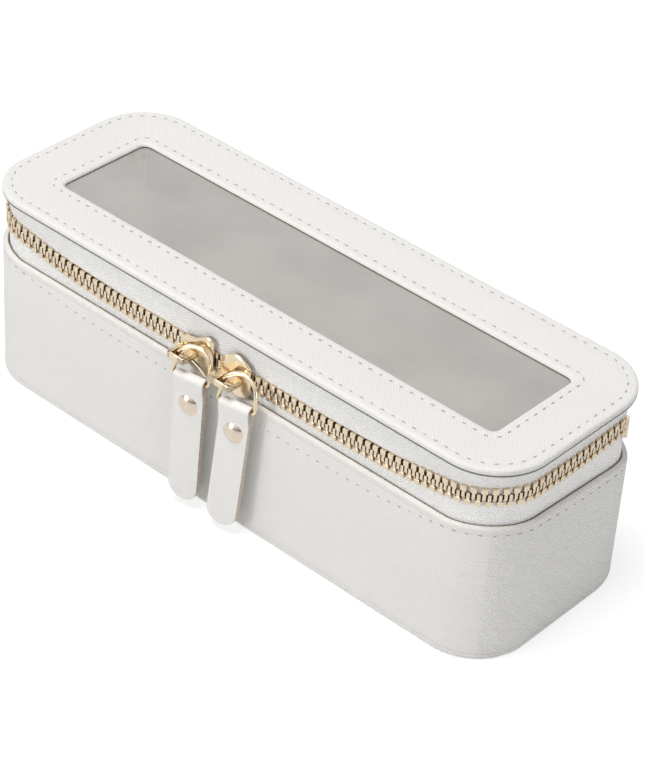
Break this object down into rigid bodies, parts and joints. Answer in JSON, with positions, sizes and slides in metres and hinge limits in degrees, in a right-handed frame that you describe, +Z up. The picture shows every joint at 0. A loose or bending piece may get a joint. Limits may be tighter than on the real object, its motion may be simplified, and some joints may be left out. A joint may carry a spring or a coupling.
{
  "type": "jewelry box",
  "caption": "Zip-round travel jewelry case with rounded corners, a hinged lid with a clear window, white grained leather walls and gold zip pulls with leather tabs.",
  "frame": {"origin": "middle of the bottom face, on the surface that the box stands on", "axes": "+X along the box, +Y towards the hinge strip at the back, +Z up; the zip pulls hang on the -Y side"},
  "size_m": [0.21, 0.08, 0.0688],
  "materials": {
    "white_leather": "cross-grained, satin",
    "board": "grey board",
    "lining_cloth": "short-napped greige cloth",
    "zip_tape": "woven tape",
    "window_clear": "clear, glossy",
    "zip_gold": "polished",
    "hardware_gold": "polished, pale",
    "rivet_gold": "polished, pale rose"
  },
  "bodies": {
    "base": {"base_bottom_cover": "white_leather", "base_wall_board": "board", "base_floor_board": "board", "base_wrap": "white_leather", "base_wall_lining": "lining_cloth", "base_floor_lining": "lining_cloth", "lower_zip_tape": "zip_tape", "hinge_strip_lower": "white_leather", "lower_zip_teeth": "zip_gold", "lower_zip_end_stops": "zip_gold"},
    "lid": {"lid_cover": "white_leather", "lid_board": "board", "window_pane": "window_clear", "lid_lining": "lining_cloth", "upper_zip_tape": "zip_tape", "hinge_strip_upper": "white_leather", "upper_zip_teeth": "zip_gold", "upper_zip_end_stops": "zip_gold"},
    "slider_left": {"slider_left_front": "hardware_gold", "slider_left_back": "hardware_gold"},
    "ring_left": {"pull_ring_left": "hardware_gold"},
    "tab_left": {"pull_tab_left": "white_leather", "rivet_front_left": "rivet_gold", "rivet_back_left": "rivet_gold"},
    "slider_right": {"slider_right_front": "hardware_gold", "slider_right_back": "hardware_gold"},
    "ring_right": {"pull_ring_right": "hardware_gold"},
    "tab_right": {"pull_tab_right": "white_leather", "rivet_front_right": "rivet_gold", "rivet_back_right": "rivet_gold"}
  },
  "joints": [
    {"name": "lid_hinge", "type": "hinge", "parent": "base", "child": "lid", "pos_m": [0, 0.03445, 0.053], "axis": [-1, 0, 0], "range_deg": [0, 160]},
    {"name": "slider_left_slide", "type": "slide", "parent": "base", "child": "slider_left", "axis": [-1, 0, 0], "range_m": [0, 0.07]},
    {"name": "ring_left_swing", "type": "hinge", "parent": "slider_left", "child": "ring_left", "pos_m": [-0.0074, -0.03965, 0.053], "axis": [-0.9877, -0.1564, 0], "range_deg": [0, 10]},
    {"name": "tab_left_swing", "type": "hinge", "parent": "ring_left", "child": "tab_left", "pos_m": [-0.00718, -0.04103, 0.04741], "axis": [-0.9877, -0.1564, 0], "range_deg": [0, 80]},
    {"name": "slider_right_slide", "type": "slide", "parent": "base", "child": "slider_right", "axis": [1, 0, 0], "range_m": [0, 0.07]},
    {"name": "ring_right_swing", "type": "hinge", "parent": "slider_right", "child": "ring_right", "pos_m": [0.01105, -0.03965, 0.053], "axis": [-0.9877, -0.1564, 0], "range_deg": [0, 10]},
    {"name": "tab_right_swing", "type": "hinge", "parent": "ring_right", "child": "tab_right", "pos_m": [0.01127, -0.04103, 0.04741], "axis": [-0.9877, -0.1564, 0], "range_deg": [0, 80]}
  ]
}
